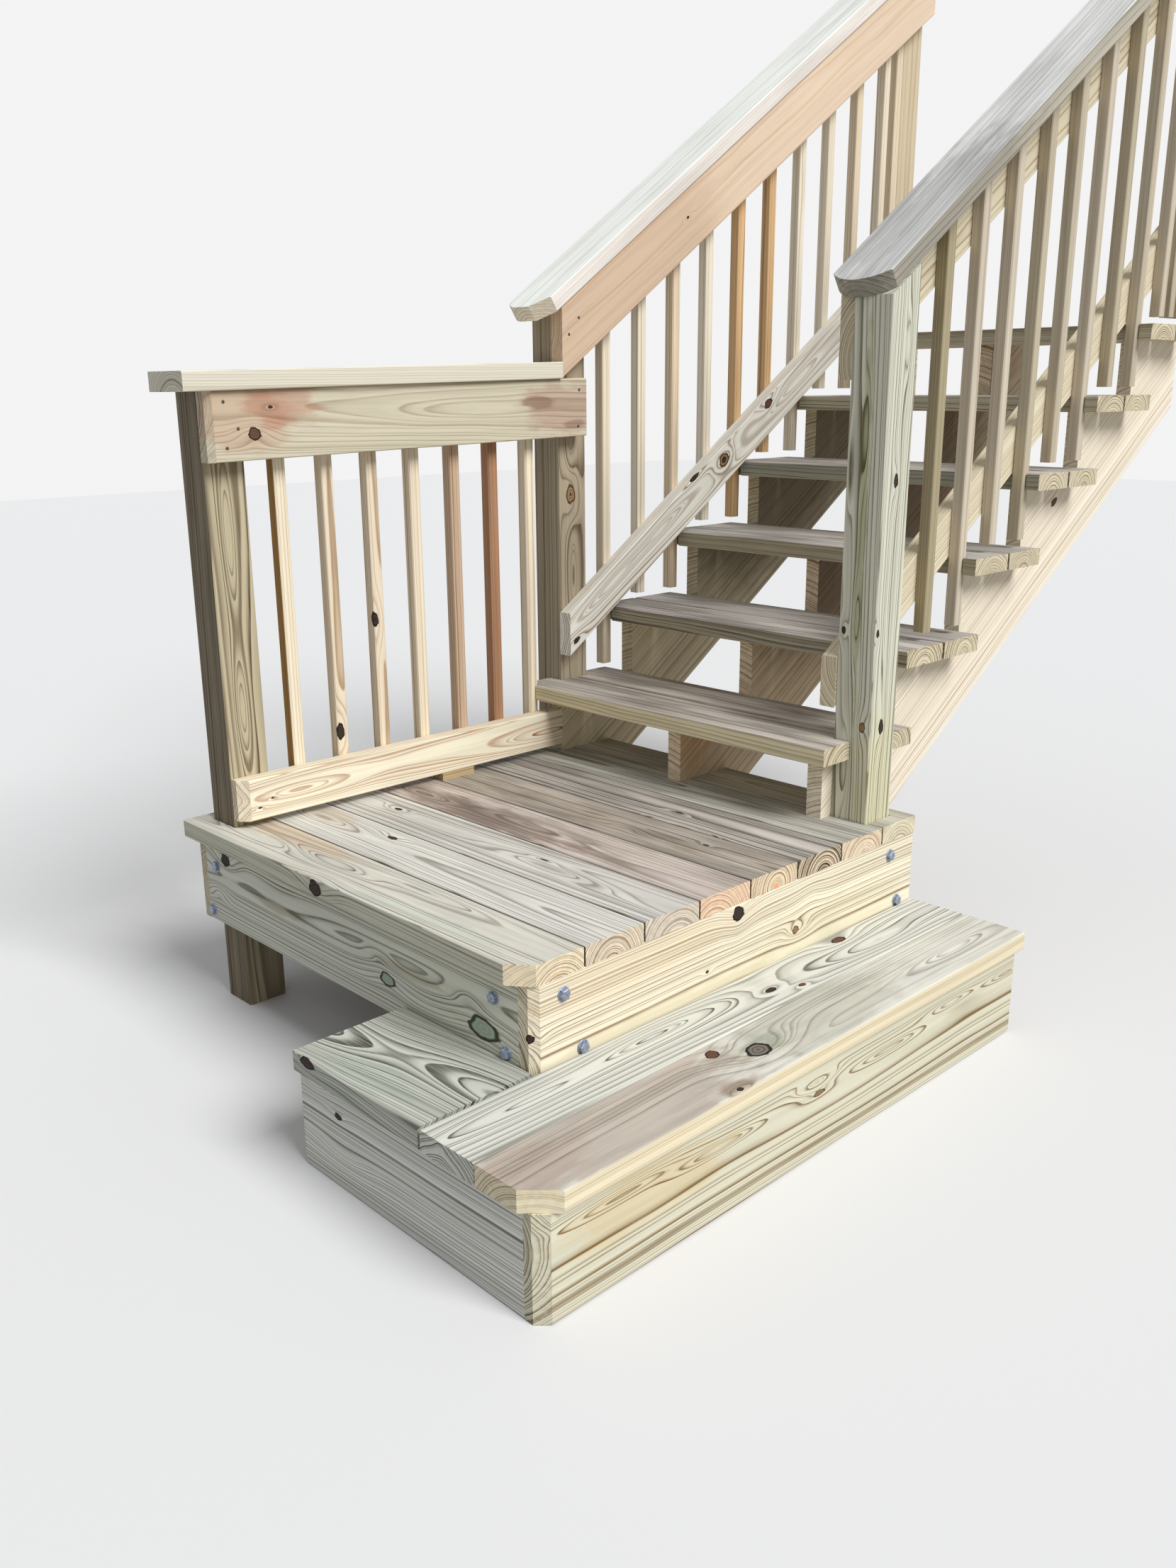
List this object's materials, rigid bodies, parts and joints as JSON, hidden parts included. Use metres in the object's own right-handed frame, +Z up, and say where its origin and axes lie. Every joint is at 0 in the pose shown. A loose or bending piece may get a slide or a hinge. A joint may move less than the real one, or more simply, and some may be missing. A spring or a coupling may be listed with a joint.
{
  "type": "wooden deck stairs",
  "caption": "Wooden deck stairs: open treads on notched stringers between two railings, down to a guarded landing and a low L-shaped step.",
  "frame": {"origin": "middle of the sawn head of the middle stringer, on the plumb face that is fixed to the upper deck", "axes": "+X along the treads to the right of someone climbing, +Y the way the flight climbs, +Z up"},
  "size_m": [1.369, 2.698, 2.5143],
  "materials": {
    "deck_boards": "matt",
    "treads": "matt",
    "posts": "matt",
    "balusters": "matt",
    "stringers": "matt",
    "framing": "matt",
    "rims": "matt",
    "caps": "matt",
    "rails": "matt",
    "galvanised_bolts": "satin"
  },
  "bodies": {
    "root": {"deck_board_1": "deck_boards", "deck_board_2": "deck_boards", "deck_board_3": "deck_boards", "deck_board_4": "deck_boards", "deck_board_5": "deck_boards", "deck_board_6": "deck_boards", "deck_board_7": "deck_boards", "deck_board_8": "deck_boards", "guard_balusters": "balusters", "guard_bottom_rail": "rails", "guard_cap": "caps", "guard_face_board": "rails", "guard_spacer": "framing", "landing_joists": "framing", "landing_rim_back": "rims", "landing_rim_front": "rims", "landing_rim_left": "rims", "landing_rim_right": "rims", "left_balusters": "balusters", "left_rail_cap": "caps", "left_rail_face": "rails", "left_rail_lower": "rails", "post_back_left": "posts", "post_back_right": "posts", "post_front_left": "posts", "post_front_right": "posts", "right_balusters": "balusters", "right_rail_cap": "caps", "right_rail_face": "rails", "right_rail_lower": "rails", "step_board_front": "deck_boards", "step_board_inner": "deck_boards", "step_board_outer": "deck_boards", "step_end_rims": "rims", "step_joists": "framing", "step_ledger_front": "framing", "step_ledger_side": "framing", "step_rim_front": "rims", "step_rim_side": "rims", "stringer_left": "stringers", "stringer_middle": "stringers", "stringer_right": "stringers", "tread_1": "treads", "tread_2": "treads", "tread_3": "treads", "tread_4": "treads", "tread_5": "treads", "tread_6": "treads", "upper_upright_left": "balusters", "upper_upright_right": "balusters"}
  },
  "joints": []
}
